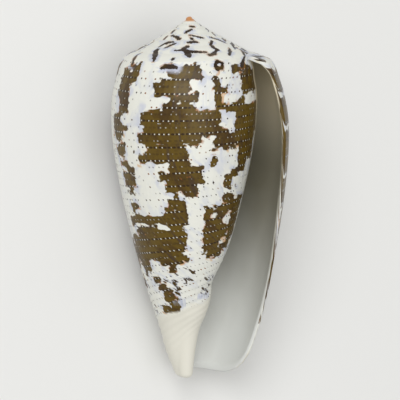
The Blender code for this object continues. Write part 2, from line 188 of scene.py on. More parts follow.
# The dark flames on the spire and over the shoulder, placed on the photograph's two views. Each is a
# line of (x, y, half width) places, in the photograph's pixels.
FLAMES = {
    "left view": [
        [(114, 48, 1), (118, 46.5, 1.9), (122, 43.5, 2.2), (126, 42, 1.2)],
        [(103, 31, 0.8), (107, 32, 1.8), (111, 31, 0.8)],
        [(107, 33, 1), (107, 36, 1.2), (104, 39, 1.2), (107, 38, 1.6), (109.5, 41, 0.8)],
        [(120, 35.5, 1.3), (123, 37, 1.1), (126, 39, 0.9)], [(109, 27, 0.7), (113, 27, 0.9)],
        [(98, 27.5, 0.7), (96, 29, 0.6)], [(91, 31, 1), (88, 33, 1.2), (87, 36, 0.6)],
        [(86.5, 38, 1), (91, 37.5, 0.9)], [(91, 42, 1.2), (94, 41.5, 0.7)],
        [(98, 45.5, 1.1), (97, 48, 1.3), (94, 51, 1.8), (91, 54, 1.1)],
        [(72, 47.5, 1.5), (73, 51, 2), (73, 55, 1.2)], [(75, 48, 1.2), (78, 47, 0.5), (83, 46, 0.5)],
        [(77.5, 57, 1.5), (79, 60, 1.5)], [(117, 55, 1.2), (120, 55.5, 1.8), (123, 54.5, 1)],
        [(132, 52, 0.9), (136, 54, 1.2), (135.5, 58, 1.5), (131, 60, 2), (127, 64.5, 0.8)],
        [(88, 65.5, 1.2), (93, 66, 1.8), (97, 64, 1.6), (103, 60.5, 0.7), (109, 59, 0.8), (115, 64, 1.2)],
        [(57, 70, 0.7), (60, 66.5, 1.2), (65, 64, 0.9), (71, 63, 0.5), (79, 61.5, 0.4)],
        [(44, 69, 0.6), (48, 66, 1.3), (52, 63.5, 0.9)],
        [(150, 55.5, 1.2), (154, 57, 2.2), (158, 56, 1.5), (158, 53, 1.3), (152, 52.5, 0.9),
         (144, 50.5, 0.6)],
        [(139, 43, 1), (142, 44.5, 1.1), (144, 46.5, 0.6)], [(66, 45, 0.6), (61, 50, 0.8), (57, 55, 0.8)]],
    "right view": [
        [(268, 50.5, 0.8), (275, 50, 1.4), (283, 51.5, 2), (292, 52, 1.2), (299, 52, 0.8)],
        [(280, 52, 3.2), (282, 56, 2.2)], [(276, 48.5, 1.2), (281, 46.5, 1.4)],
        [(281, 42.5, 1.2), (286, 41.8, 1.6), (291, 42.5, 0.6)],
        [(305, 41.5, 1.3), (304, 44, 1), (306, 47.5, 1.5), (311, 50, 1.2)],
        [(309, 51, 1), (307, 54, 1.5), (302, 55, 1.4)],
        [(250, 50, 2.2), (248.5, 53, 2.2), (248, 57, 1.8), (247, 61, 1)],
        [(253, 46.5, 1), (257, 44, 1.2), (262, 42.5, 1.7), (266, 42, 1)],
        [(258, 48, 0.5), (264, 45, 1), (269, 43.5, 0.6)],
        [(265, 35.5, 0.8), (270, 37, 1.1), (272, 39, 1.6)],
        [(278, 33, 0.8), (281, 31, 1.2), (285, 29.5, 0.8)], [(284, 26.5, 0.9), (287, 26.7, 0.8)],
        [(283, 35, 0.5), (290, 36.5, 0.7), (296, 38, 0.9)], [(284, 38, 0.6), (286, 39.5, 0.9)],
        [(265, 33, 0.7), (267, 30.5, 0.9)], [(257, 39.5, 0.7), (260, 36.5, 0.7)],
        [(233, 53.5, 0.6), (229, 56, 1.1), (227, 60, 1.2), (225.5, 64, 1)],
        [(303, 37, 0.5), (311, 39.5, 0.9), (318, 42.5, 0.6)],
        [(334, 50, 1.2), (337, 54, 1), (337, 58, 1.3), (336, 62, 1.8), (335, 66, 2.3)],
        [(265, 59.5, 1.2), (267, 58.5, 1.2)], [(254, 68, 1), (259, 66, 2), (266, 66.5, 1.8), (270, 68, 1)],
        [(310, 61, 1.5), (308.5, 65, 1.5), (310, 69, 1.5), (315, 68, 1.3), (315.5, 63, 1.2),
         (310, 61, 1.5)]],
}
PHOTO_PITCH_DEG = 8.0
PHOTO_TILT_DEG = 0.5
# How each view shows the shell: how far it is spun about its axis and tilted, in degrees, and how far its
# middle is to the right of the photograph's, in pixels.
VIEWS = {"left view": (150.0, 2.6, -97.0), "right view": (0.0, PHOTO_TILT_DEG, 93.0)}
PICTURE_PIXELS = 400
# The flames at the outline of a view, in shell coordinates: (turn, depth, half width in millimetres).
SIDE_FLAMES = [
    [(3, 6.3, 0.1), (9, 6.4, 0.1), (15, 6.5, 0.1), (22, 6.7, 0.1)],
    [(43, 6.9, 0.1), (58, 6.4, 0.1), (69, 6.1, 0.15), (75, 5.8, 0.08)],
    [(198, 6.7, 0.1), (200, 6.2, 0.12), (205, 5.5, 0.12), (212, 4.9, 0.1)],
    [(208, 5.2, 0.12), (212, 4.6, 0.1), (217, 4.0, 0.1)],
    [(346, 4.9, 0.15), (341, 5.2, 0.2), (333, 5.7, 0.1)]]
# Where those are all the flames there are: from, to, top, bottom, strength.
FLAMES_SEEN = [(50, 201, -9, 9, 1.0), (220, 352, -9, 9, 1.0)]

# Stretches where small marks are thick on the white: from, to, top, bottom, strength.
MOTTLED = [
    (96, 135, 9, 20, 0.6), (99, 150, 24, 38, 0.9), (54, 90, 25, 40, 0.8), (45, 80, 9, 16, 0.8),
    (165, 202, 9, 36, 0.8), (85, 112, 40, 50, 0.6), (236, 276, 41.5, 48, 0.9), (314, 346, 41.5, 46.5, 0.85),
    (200, 250, 20, 34, 0.35), (215, 300, 40, 47, 0.5), (300, 345, 22, 29, 0.4), (0, 56, 8, 48, 0.75),
    (164, 215, 43, 50, 0.6), (60, 165, 48, 53, 0.3)]
# Blue-grey streaks along the growth lines: centre, half width, top, bottom, strength.
GREY_STREAKS = [
    (161.8, 2.2, 9.5, 46.5, 1.0), (164.5, 5, 9, 46.5, 0.7), (306, 6, 8, 17, 0.2), (291, 3, 10.2, 11.6, 0.7),
    (116, 7, 8.5, 12, 0.45), (145, 8, 11, 15.5, 0.4), (91, 3.5, 8, 10, 0.7), (92, 5, 29, 34, 0.4),
    (268, 14, 45.5, 48, 0.8), (330, 20, 44.8, 46.8, 0.8), (108, 5, 44.8, 47, 0.5), (20, 12, 8, 14, 0.4)]
# The plain cream end: the depth where it starts, against turn.
PLAIN_FROM = [
    (0, 55.0), (60, 57.5), (110, 56.5), (150, 54.6), (172, 52.0), (200, 50.2), (235, 49.0), (267, 48.4),
    (300, 47.2), (350, 46.6), (420, 43.0)]

# The whorl's mean radius: its widest, how far down, and how it falls off from there.
WIDEST_RADIUS = 14.8
WIDEST_DOWN = 17.0
RADIUS_FALL = 0.0055

# Small marks and soft edges, in millimetres and degrees.
MARK_WANDER = 0.35  # how far a mark may stray from its place, as a share of the spacing
STEP_LENGTH = 1.9
STEP_REACH = 1.5
TOOTH_LENGTH = 2.4
TOOTH_REACH = 2.0
FRAY_LENGTH = 0.6
FRAY_REACH = 0.4
BLOTCH_SPREAD = 0.15
CLOUD_LENGTH = 3.2
CLOUD_HEIGHT = 4.5
BROWN_PATCH = 2.6
SHADE_PATCH = 1.9
WORN_PATCH = 2.2
STAIN_PATCH = 2.6
DOT_HALF_LENGTH = 0.09
DOT_HALF_HEIGHT = 0.14
DOT_PATCH = 5.0
DARK_DASH = (0.4, 0.19)
LIGHT_DASH = (0.05, 0.12)
DARK_DASH_SHIFT = 0.2
LIGHT_DASH_SHIFT = -0.24
FAINT_DASH = (0.36, 0.18)
FAINT_DASH_SPACING = 1.7
PLAIN_EDGE_REACH = 2.2
FLAME_FRAY = 0.55
DOT_SPACING = 1.1
DASH_SPACING = 1.0
DOTTED_TURN = 140.0
DOTTED_HALF_WIDTH = 100.0
FLAMES_PER_TURN = 13
APEX_CAP = 1.1
BLOTCH_REACH = 2.5
STRETCH_FADE_DEG = 3.0
STRETCH_FADE = 1.2
GLAZE_FROM_DEG = 364.0
GLAZE_BLEND_DEG = 6.0
EDGE_BARE = 0.55  # how plain the middle of the rounded edge is
LEAST_RADIUS = 0.01  # keeps the middle of the apex from being divided by 0
SPIRE_SLANT_DEPTHS = [5.6, 7.4]
SPIRE_SLANTS = [1.9, 1.0]

# The relief.
CORD_SPACING = 1.3
CORD_HEIGHT = 0.1
CORDS_FROM = 36.0
CORDS_FULL = 47.0
CORDS_FADE = 55.0
CORDS_END = 58.0
NODULES_PER_DEG = 0.5
NODULE_LEAST = 0.6
NODULE_SPREAD = 0.8
GROWTH_LINES = 0.35
GROWTH_DRIFT = 0.03
GROWTH_HEIGHT = 0.16
LINES_BEGIN = (1.0, 4.0)
LINES_FADE = (54.0, 44.0)
FINE_LINE_HEIGHT = 0.03
THREAD_HEIGHT = 0.008
SCAR_TURN = 163.5  # where growth once stopped, on the back
SCAR_HALF_WIDTH = 3.0
SCAR_DEPTH = 0.35
RELIEF_SEED = 7.0

# Colours.
WHITE = (0.775, 0.775, 0.705, 1.0)
BLUE_GREY = (0.52, 0.55, 0.66, 1.0)
SCAR_GREY = (0.3, 0.32, 0.36, 1.0)
CREAM = (0.73, 0.71, 0.62, 1.0)
OLIVE_BROWN = (0.112, 0.068, 0.005, 1.0)
DEEP_BROWN = (0.066, 0.035, 0.005, 1.0)
GREY_BROWN = (0.055, 0.034, 0.022, 1.0)
FLAME = (0.026, 0.012, 0.003, 1.0)
RUST = (0.36, 0.12, 0.015, 1.0)
FAINT_ORANGE = (0.6, 0.33, 0.12, 1.0)
APEX_TAN = (0.578, 0.262, 0.102, 1.0)
# Inside the aperture: a pale taupe painted as light at the very top, a darker taupe painted as shade down
# the deep upper part, and the inside's own light grey lower down.
TAUPE_PAINTED_LIGHT = (0.74, 0.67, 0.5, 1.0)
TAUPE_PAINTED_SHADE = (0.29, 0.27, 0.2, 1.0)
INNER_GREY = (0.66, 0.67, 0.64, 1.0)
ROUGHNESS = 0.3
ROUGHNESS_SPREAD = 0.14
GLOSS = {"Specular IOR Level": 0.25, "Coat Weight": 0.05, "Coat Roughness": 0.15}

# The picture. Lengths here are in metres.
FLOOR_HALF = 1.5
FLOOR_COLOUR = (0.78, 0.78, 0.76, 1.0)
ROOM_COLOUR = (1.0, 1.0, 1.0, 1.0)
ROOM_STRENGTH = 0.5
LIGHTS = [("key light", (-0.3, 0.25, 0.6), 0.4, 2.0), ("fill light", (0.0, -0.05, 0.75), 0.6, 1.6)]
LIGHTS_AIM = (0.0, 0.0, 0.012)
CAMERA_LENS = 300.0
CAMERA_SENSOR = 36.0
FRAME_HEIGHT = 0.0658
PICTURE_DROP = -0.00025


def row_radius(down):
    """The mean radius of the whorl at a row, to measure along it."""
    return WIDEST_RADIUS - RADIUS_FALL * (down - WIDEST_DOWN) ** 2.0


def smooth(t):
    """0 to 1 with flat ends."""
    t = np.clip(t, 0.0, 1.0)
    return t * t * (3.0 - 2.0 * t)


def quarter_round(t):
    """0 to 1 along a quarter of a circle, steep at first."""
    return math.sqrt(max(0.0, 1.0 - (1.0 - min(1.0, t)) ** 2))


def curve_through(points, x):
    """A smooth curve through (x, y) points, straight beyond its ends."""
    last = len(points) - 1
    x_low, x_high = points[0][0], points[last][0]
    if x <= x_low or x >= x_high:
        a, b = (points[0], points[1]) if x <= x_low else (points[last], points[last - 1])
        return a[1] + (x - a[0]) * (b[1] - a[1]) / (b[0] - a[0])
    i = max(k for k in range(last) if points[k][0] <= x)
    before, a, b, after = points[max(0, i - 1)], points[i], points[i + 1], points[min(last, i + 2)]
    span = b[0] - a[0]
    rise_a = (b[1] - before[1]) / (b[0] - before[0]) * span
    rise_b = (after[1] - a[1]) / (after[0] - a[0]) * span
    t = (x - a[0]) / span
    return ((2 * t ** 3 - 3 * t ** 2 + 1) * a[1] + (t ** 3 - 2 * t ** 2 + t) * rise_a
            + (3 * t ** 2 - 2 * t ** 3) * b[1] + (t ** 3 - t ** 2) * rise_b)


def suture(turn):
    """(radius, depth) of the suture. A turn below 0 gives the shoulder, where a next whorl would join."""
    law = SUTURE_AT_LIP * max(0.0, 1.0 - turn / (360.0 * TURNS_TO_APEX)) ** SPIRE_POWER
    flare = SHOULDER_FLARE * float(smooth((FLARE_FROM_DEG - turn) / HALF_TURN_DEG))
    return law + flare, SPIRE_SLOPE * law + APEX_HEIGHT * (1.0 - math.exp(-law / APEX_RADIUS))


def lean(depth):
    """0 down to where the columella starts to lean, 1 at its tip."""
    return float(smooth((depth - LEAN_FROM) / (LENGTH - LEAN_FROM)))


def growth(turn):
    """1 at the lip's side, 0 half a turn before it, and below 0 further back."""
    q = SHRINK_PER_HALF_TURN
    return (q ** ((turn - SIDE_OF_LIP_DEG) / HALF_TURN_DEG) - q) / (1.0 - q)


def profile_radius(turn, depth):
    """Radius from the two side profiles, measured from the leaning axis."""
    shift = TIP_SHIFT[0] * lean(depth)
    left = curve_through(LEFT_PROFILE, depth) + shift
    right = curve_through(LIP_PROFILE, depth) - shift
    return left + (right - left) * growth(turn)


def outer_radius(turn, depth):
    """Radius of the outer surface of the whorl, below its shoulder."""
    shoulder_radius, shoulder_depth = suture(turn - 360.0)
    missing = shoulder_radius - profile_radius(turn, shoulder_depth)
    radius = profile_radius(turn, depth)
    radius += missing * math.exp(-max(0.0, depth - shoulder_depth) / SHOULDER_BLEND)
    pillar = curve_through(PILLAR_PROFILE, max(depth, PILLAR_PROFILE[0][0]))
    over = radius - pillar
    return pillar + 0.5 * (over + math.sqrt(over * over + PILLAR_BLEND))


def swept(turn, depth):
    """Near the lip the surface draws back towards the narrow end."""
    sweep = LIP_SWEEP_DEG * float(smooth((depth - LIP_SWEEP_FROM) / (LENGTH - LIP_SWEEP_FROM)))
    return turn + sweep * max(0.0, 1.0 - turn / LIP_SWEEP_FADES_DEG) ** 2


def row_depth(top, bottom, row):
    """Rows lie closer together under the shoulder and on the corded lower part."""
    return top + (bottom - top) * curve_through(ROW_PLAN, row / BODY_ROWS)


def place(turn, radius, depth):
    """A point of the shell, (x, y, z) in millimetres, with the apex at the origin and the tip below it."""
    angle = math.radians(turn - SIDE_OF_LIP_DEG)
    x = TIP_SHIFT[0] * lean(depth) + radius * math.cos(angle)
    y = TIP_SHIFT[1] * lean(depth) + radius * math.sin(angle)
    return (x, y, -depth)


def down_of(turn, depth):
    """Depth corrected for the slope of the rows."""
    return depth + (turn - ROW_LEVEL_DEG) * ROW_CLIMB * np.maximum(0.0, depth - ROW_CLIMB_FROM)


class Skin:
    """The closed surface. A corner is (vertex, turn, down), with down -1 to 0 across the spire's ramps."""

    def __init__(self):
        self.places = []
        self.facts = []
        self.index = {}
        self.faces = []
        self.corners = []

    def add(self, spot, turn, bare):
        self.places.append(tuple(spot))
        self.facts.append((turn, bare))
        return len(self.places) - 1

    def vertex(self, key, make):
        if key not in self.index:
            self.index[key] = self.add(*make())
        return self.index[key]

    def face(self, *corners):
        kept = [corner for i, corner in enumerate(corners) if corner[0] != corners[i - 1][0]]
        if len(kept) > 2:
            self.faces.append([corner[0] for corner in kept])
            self.corners += [corner[1:] for corner in kept]

    def band(self, one, other):
        """Faces between two rows of as many corners."""
        for i in range(len(one) - 1):
            self.face(one[i], one[i + 1], other[i + 1], other[i])

    def close(self, loop, tip, steps):
        """Round a loop of corners off to a tip, through a ring at each step of the way there."""
        before = loop
        for step in steps:
            height = (1.0 - step) ** 2
            width = height + 2.0 * step * (1.0 - step) * END_FULLNESS
            keep = (width, width, height)
            ring = []
            for index, turn, down in loop:
                edge = self.places[index]
                spot = [tip[axis] + (edge[axis] - tip[axis]) * keep[axis] for axis in range(3)]
                ring.append((self.add(spot, *self.facts[index]), turn, down))
            self.band(ring + ring[:1], before + before[:1])
            before = ring
        end = self.add(tip, 0.0, 0.0)
        for one, other in zip(before, before[1:] + before[:1]):
            self.face(other, one, (end,) + one[1:])


class Shell(Skin):
    """Names the places on the shell and joins them up."""

    def ramp(self, column, row):
        turn = column * STEP_DEG
        share = row / RAMP_ROWS
        if row == RAMP_ROWS:
            below = self.ramp(column - COLUMNS, 0) if column >= COLUMNS else self.body(column, 0)
            return below[0], turn, 0.0

        def make():
            inner, outer = suture(turn), suture(turn - 360.0)
            depth = inner[1] + (outer[1] - inner[1]) * share ** RAMP_HOLLOW
            return place(turn, inner[0] + (outer[0] - inner[0]) * share, depth), turn, 0.0

        return self.vertex(("ramp", column, row), make), turn, share - 1.0

    def body(self, column, row):
        turn = column * STEP_DEG
        depth = row_depth(suture(turn - 360.0)[1], curve_through(END_EDGE, turn), row)
        turn = swept(turn, depth)
        down = down_of(turn, depth)
        if column == COLUMNS and row == 0:
            return self.ramp(0, 0)[0], turn, down
        return self.vertex(("body", column, row),
                           lambda: (place(turn, outer_radius(turn, depth), depth), turn, 0.0)), turn, down

    def bottom(self, column, turn):
        """Where the chamber ends below: at the open edge at this turn, or at its own floor further back."""
        if column <= FLOOR_COLUMN:
            return curve_through(END_EDGE, turn)
        return curve_through(FLOOR_EDGE, column * STEP_DEG)

    def parietal(self, column, row):
        if column == 0:
            return self.body(COLUMNS, row)
        turn = column * STEP_DEG + 360.0
        depth = row_depth(suture(turn - 360.0)[1], self.bottom(column, turn), row)
        bare = float(smooth((turn - GLAZE_FROM_DEG) / GLAZE_BLEND_DEG))
        return self.vertex(("parietal", column, row), lambda: (
            place(turn, outer_radius(turn, depth), depth), turn, bare)), turn, down_of(turn, depth)

    def wall(self, column, row):
        if row == ROOF_ROW or (row == BODY_ROWS and column >= FLOOR_COLUMN):
            return self.parietal(column, row)
        turn = column * STEP_DEG
        bottom = self.bottom(column, turn)
        top = row_depth(suture(turn)[1], bottom, ROOF_ROW)
        share = (row - ROOF_ROW) / (BODY_ROWS - ROOF_ROW)
        depth = top + (bottom - top) * share * (ROOF_CROWDING + (1.0 - ROOF_CROWDING) * share)
        turn = swept(turn, depth)

        def make():
            thick = LIP_EDGE + (WALL - LIP_EDGE) * float(smooth(column * STEP_DEG / LIP_TAPER_DEG))
            thick += (LIP_EDGE - thick) * float(smooth((depth - LENGTH + END_TAPER) / END_TAPER))
            pillar = outer_radius(turn + 360.0, depth)
            opened = quarter_round((depth - top) / ROOF_ROUND)
            if column >= FLOOR_COLUMN:
                opened *= quarter_round((bottom - depth) / FLOOR_ROUND)
            gap = max(LEAST_GAP, outer_radius(turn, depth) - thick - pillar)
            return place(turn, pillar + gap * opened, depth), turn, 1.0

        return self.vertex(("wall", column, row), make), turn, down_of(turn, depth)

    def outside(self):
        for i in range(SPIRE_COLUMNS):
            self.band([self.ramp(i, j) for j in range(RAMP_ROWS + 1)],
                      [self.ramp(i + 1, j) for j in range(RAMP_ROWS + 1)])
        for i in range(COLUMNS):
            self.band([self.body(i, k) for k in range(BODY_ROWS + 1)],
                      [self.body(i + 1, k) for k in range(BODY_ROWS + 1)])

    def chamber(self):
        rows = range(ROOF_ROW, BODY_ROWS + 1, STRIDE)
        self.band([self.parietal(0, k) for k in range(ROOF_ROW, BODY_ROWS + 1)],
                  [self.parietal(STRIDE, k - k % STRIDE) for k in range(ROOF_ROW, BODY_ROWS + 1)])
        for i in range(0, CHAMBER_COLUMNS, STRIDE):
            if i > 0:
                self.band([self.parietal(i, k) for k in rows], [self.parietal(i + STRIDE, k) for k in rows])
            self.band([self.wall(i + STRIDE, k) for k in rows], [self.wall(i, k) for k in rows])
        self.band([self.parietal(CHAMBER_COLUMNS, k) for k in rows],
                  [self.wall(CHAMBER_COLUMNS, k) for k in rows])

    def rim(self):
        """The rounded edge of the lip and of the narrow end. Returns its last middle corner."""
        ends = range(1, FLOOR_COLUMN + 1)
        outer = [(self.ramp(0, j), self.ramp(1, j)) for j in range(RAMP_ROWS)]
        outer += [(self.body(0, k), self.body(1, k)) for k in range(BODY_ROWS + 1)]
        outer += [(self.body(i, BODY_ROWS), self.body(i, BODY_ROWS - 1)) for i in ends]
        inner = [self.ramp(0, 0)] + [self.body(COLUMNS, k) for k in range(1, ROOF_ROW + 1)]
        inner += [self.wall(0, max(ROOF_ROW, k - k % STRIDE)) for k in range(1, BODY_ROWS + 1)]
        inner += [self.wall(i - i % STRIDE, BODY_ROWS) for i in ends]
        middle = [outer[0][0]]
        for n in range(1, len(outer)):
            (edge, turn, down), behind = outer[n]
            here, back, across = (Vector(self.places[i]) for i in (edge, behind[0], inner[n][0]))
            spot = (here + across) / 2 + (here - back).normalized() * RIM_CROWN
            middle.append((self.add(spot, turn, EDGE_BARE), turn, down))
        self.band(middle, [edge for edge, behind in outer])
        self.band(inner, middle)
        return middle[-1]


def shell_surface():
    shell = Shell()
    shell.outside()
    shell.chamber()
    corner = shell.rim()
    core = [shell.body(i, BODY_ROWS) for i in range(FLOOR_COLUMN, COLUMNS)]
    core += [shell.parietal(i, BODY_ROWS) for i in [0] + list(range(STRIDE, FLOOR_COLUMN + 1, STRIDE))]
    shell.close(core + [corner], (TIP_SHIFT[0], TIP_SHIFT[1], -LENGTH), TIP_RINGS)
    top = [shell.ramp(i, 0) for i in range(SPIRE_COLUMNS, SPIRE_COLUMNS - COLUMNS - 1, -1)]
    top += [shell.ramp(SPIRE_COLUMNS, j) for j in range(RAMP_ROWS - 1, 0, -1)]
    shell.close(top, (0.0, 0.0, 0.0), APEX_RINGS)
    return shell


def in_blotch(along, turn, down):
    """How far, in millimetres, each point lies inside the nearest blotch; less than 0 outside them all."""
    inside = np.full(len(turn), -BLOTCH_REACH)
    for start, end, top, bottom in [bar for group in BLOTCHES.values() for bar in group]:
        middle = (start + end) / 2
        high, low = down_of(middle, top), down_of(middle, bottom)
        beside = (np.abs(turn - middle) - (end - start) / 2) * along
        above = np.abs(down - (high + low) / 2) - (low - high) / 2
        outside = np.hypot(np.maximum(beside, 0.0), np.maximum(above, 0.0))
        inside = np.maximum(inside, np.where(outside > 0.0, -outside, -np.maximum(beside, above)))
    return np.clip(inside, -BLOTCH_REACH, BLOTCH_REACH)


def photo_facing(spin_deg, tilt_deg):
    """From the way a view of the photograph shows the shell to the way it stands upright."""
    facing = (Matrix.Rotation(math.radians(tilt_deg), 3, "Z")
              @ Matrix.Rotation(math.radians(PHOTO_PITCH_DEG), 3, "X")
              @ Matrix.Rotation(math.radians(spin_deg), 3, "Y"))
    return facing.transposed()


def picture_to_shell(shell, view):
    """A function from a pixel place in a view to the (turn, depth) of the shell's surface there."""
    spin_deg, tilt_deg, beside = VIEWS[view]
    turned = Matrix.Rotation(math.radians(90.0), 3, "X") @ photo_facing(spin_deg, tilt_deg)
    spots = np.array(shell.places) @ np.array(turned)
    middle = turned @ Vector((spots.min(axis=0) + spots.max(axis=0)) / 2)
    pixel = FRAME_HEIGHT / MM / PICTURE_PIXELS
    away = FRAME_HEIGHT / MM * CAMERA_LENS / CAMERA_SENSOR
    eye = middle + turned @ Vector((0.0, PICTURE_DROP / MM, away))
    surface = BVHTree.FromPolygons(shell.places, shell.faces)

    def place_seen(x, y):
        across, up = x - beside - PICTURE_PIXELS / 2, PICTURE_PIXELS / 2 - y
        ray = turned @ Vector((across * pixel, up * pixel, -away))
        hit = surface.ray_cast(eye, ray.normalized())[0]
        if hit is None:
            raise ValueError(f"no shell at {x}, {y} in the {view}")
        return (math.degrees(math.atan2(hit.y, hit.x)) + SIDE_OF_LIP_DEG) % 360.0, -hit.z

    return place_seen


def flame_lines(shell):
    """Every flame as a line of (turn, depth, half width in millimetres) places."""
    pixel = FRAME_HEIGHT / MM / PICTURE_PIXELS
    lines = list(SIDE_FLAMES)
    for view, flames in FLAMES.items():
        place_seen = picture_to_shell(shell, view)
        lines += [[place_seen(x, y) + (half * pixel,) for x, y, half in flame] for flame in flames]
    return lines


def in_flame(lines, turn, depth, radius):
    """How far, in millimetres, each point lies inside the nearest flame; less than 0 outside them all."""
    inside = np.full(len(turn), -BLOTCH_REACH)
    slant = np.interp(depth, SPIRE_SLANT_DEPTHS, SPIRE_SLANTS)
    radius = np.maximum(radius, LEAST_RADIUS)
    for line in lines:
        for (turn_a, depth_a, half_a), (turn_b, depth_b, half_b) in zip(line, line[1:]):
            beside = ((turn - turn_a + 180.0) % 360.0 - 180.0) * np.radians(radius)
            above = (depth - depth_a) * slant
            run = ((turn_b - turn_a + 180.0) % 360.0 - 180.0) * np.radians(radius)
            drop = (depth_b - depth_a) * slant
            share = np.clip((beside * run + above * drop) / (run * run + drop * drop), 0.0, 1.0)
            away = np.hypot(beside - share * run, above - share * drop)
            inside = np.maximum(inside, half_a + (half_b - half_a) * share - away)
    return inside


def in_stretches(turn, depth, stretches):
    """The strength of the strongest soft-edged stretch at each point."""
    strength = np.zeros(len(turn))
    for start, end, top, bottom, how_much in stretches:
        beside = smooth((turn - start) / STRETCH_FADE_DEG) * smooth((end - turn) / STRETCH_FADE_DEG)
        above = smooth((depth - top) / STRETCH_FADE) * smooth((bottom - depth) / STRETCH_FADE)
        strength = np.maximum(strength, how_much * beside * above)
    return strength


def streak_stretch(streak):
    """A grey streak as a stretch, with its soft edges added."""
    middle, half, top, bottom, how_much = streak
    return middle - half - STRETCH_FADE_DEG / 2, middle + half + STRETCH_FADE_DEG / 2, top, bottom, how_much


def resting_turn():
    """From shell coordinates, in millimetres, to the way the shell lies, in metres."""
    return (Matrix.Rotation(math.radians(REST_PITCH_DEG), 4, "X")
            @ Matrix.Rotation(math.radians(REST_ROLL_DEG), 4, "Y")
            @ Matrix.Rotation(math.radians(-90.0), 4, "X") @ Matrix.Scale(MM, 4))


def shell_object():
    """The shell as a fine mesh, with its coil coordinates and what its pattern is drawn from."""
    shell = shell_surface()
    places = np.array(shell.places)
    turn, bare = np.array(shell.facts).T
    depth = -places[:, 2]
    down = down_of(turn, depth)
    matrix = np.array(resting_turn())
    spots = places @ matrix[:3, :3].T
    spots[:, 2] = np.maximum(spots[:, 2], spots[:, 2].min() + REST_FLAT * MM)
    low, high = spots.min(axis=0), spots.max(axis=0)
    spots -= np.array(((low[0] + high[0]) / 2, (low[1] + high[1]) / 2, low[2]))

    mesh = bpy.data.meshes.new("patterned_shell")
    mesh.from_pydata(spots.tolist(), [], shell.faces)
    coil = mesh.uv_layers.new(name="coil")
    corners = np.array(shell.corners)
    corners[:, 0] /= 360.0
    coil.data.foreach_set("uv", corners.astype(np.float32).ravel())
    along = np.radians(row_radius(down))
    plain_from = np.interp(turn, *zip(*PLAIN_FROM))
    fields = {
        "turn": turn,
        "down": down,
        "depth": depth,
        "bare": bare,
        "blotch": in_blotch(along, turn, down),
        "in_flame": in_flame(flame_lines(shell), turn, depth, np.hypot(places[:, 0], places[:, 1])),
        "seen": in_stretches(turn % 360.0, depth, FLAMES_SEEN),
        "mottled": in_stretches(turn, depth, MOTTLED),
        "greyed": in_stretches(turn, depth, [streak_stretch(streak) for streak in GREY_STREAKS]),
        "plain": np.clip(depth - plain_from, -BLOTCH_REACH, BLOTCH_REACH),
        "from_apex": np.minimum(np.linalg.norm(places, axis=1), APEX_CAP * 3),
    }
    for name, values in fields.items():
        layer = mesh.attributes.new(name, "FLOAT", "POINT")
        layer.data.foreach_set("value", values.astype(np.float32))
    mesh.shade_smooth()
    mesh.validate()
    if mesh_volume(mesh) < 0.0:
        mesh.flip_normals()
    made = bpy.data.objects.new("patterned_shell", mesh)
    bpy.context.scene.collection.objects.link(made)
    return made


def mesh_volume(mesh):
    """Above 0 where the faces point out."""
    mesh.calc_loop_triangles()
    spots = np.empty(len(mesh.vertices) * 3)
    mesh.vertices.foreach_get("co", spots)
    thirds = np.empty(len(mesh.loop_triangles) * 3, dtype=np.int64)
    mesh.loop_triangles.foreach_get("vertices", thirds)
    a, b, c = np.moveaxis(spots.reshape(-1, 3)[thirds.reshape(-1, 3)], 1, 0)
    return float(np.einsum("ij,ij->i", a, np.cross(b, c)).sum())


class Wire:
    """A value on its way through a node tree, with arithmetic."""

    def __init__(self, bench, socket):
        self.bench = bench
        self.socket = socket

    def __add__(self, other):
        return self.bench.math("ADD", self, other)

    def __radd__(self, other):
        return self.bench.math("ADD", other, self)

    def __sub__(self, other):
        return self.bench.math("SUBTRACT", self, other)

    def __rsub__(self, other):
        return self.bench.math("SUBTRACT", other, self)

    def __mul__(self, other):
        return self.bench.math("MULTIPLY", self, other)

    def __rmul__(self, other):
        return self.bench.math("MULTIPLY", other, self)

    def __truediv__(self, other):
        return self.bench.math("DIVIDE", self, other)

    def __pow__(self, other):
        return self.bench.math("POWER", self, other)


class Bench:
    """Makes the nodes of one tree."""

    def __init__(self, tree):
        self.tree = tree

    def node(self, kind, settings, values):
        """A node with its settings, then its values and links by socket identifier."""
        made = self.tree.nodes.new(kind)
        for name, value in settings.items():
            setattr(made, name, value)
        sockets = {socket.identifier: socket for socket in made.inputs}
        for identifier, value in values.items():
            if isinstance(value, Wire):
                self.tree.links.new(value.socket, sockets[identifier])
            else:
                sockets[identifier].default_value = value
        return made

    def wire(self, node, output):
        return Wire(self, next(socket for socket in node.outputs if socket.identifier == output))

    def math(self, operation, *values):
        named = dict(zip(("Value", "Value_001", "Value_002"), values))
        return self.wire(self.node("ShaderNodeMath", {"operation": operation}, named), "Value")

    def floor(self, x):
        return self.math("FLOOR", x)

    def size(self, x):
        return self.math("ABSOLUTE", x)

    def larger(self, x, y):
        return self.math("MAXIMUM", x, y)

    def smaller(self, x, y):
        return self.math("MINIMUM", x, y)

    def wave(self, x):
        """0 to 1 and back, once for each 1 that x grows; 1 at whole numbers."""
        return 0.5 + 0.5 * self.math("COSINE", x * (2.0 * math.pi))

    def rise(self, x, low, high):
        """0 below low, 1 above high, smooth between."""
        values = {"Value": x, "From Min": low, "From Max": high}
        node = self.node("ShaderNodeMapRange", {"interpolation_type": "SMOOTHSTEP"}, values)
        return self.wire(node, "Result")

    def vector(self, x, y, z):
        return self.wire(self.node("ShaderNodeCombineXYZ", {}, {"X": x, "Y": y, "Z": z}), "Vector")

    def noise(self, x, y, seed, detail=1.0):
        """Soft noise about 0.5."""
        values = {"Vector": self.vector(x, y, seed), "Scale": 1.0, "Detail": detail, "Roughness": 0.55}
        return self.wire(self.node("ShaderNodeTexNoise", {}, values), "Fac")

    def chance(self, x, y, seed):
        """Any number from 0 to 1, the same for the same x, y and seed."""
        values = {"Vector": self.vector(x, y, seed)}
        return self.wire(self.node("ShaderNodeTexWhiteNoise", {"noise_dimensions": "3D"}, values), "Value")


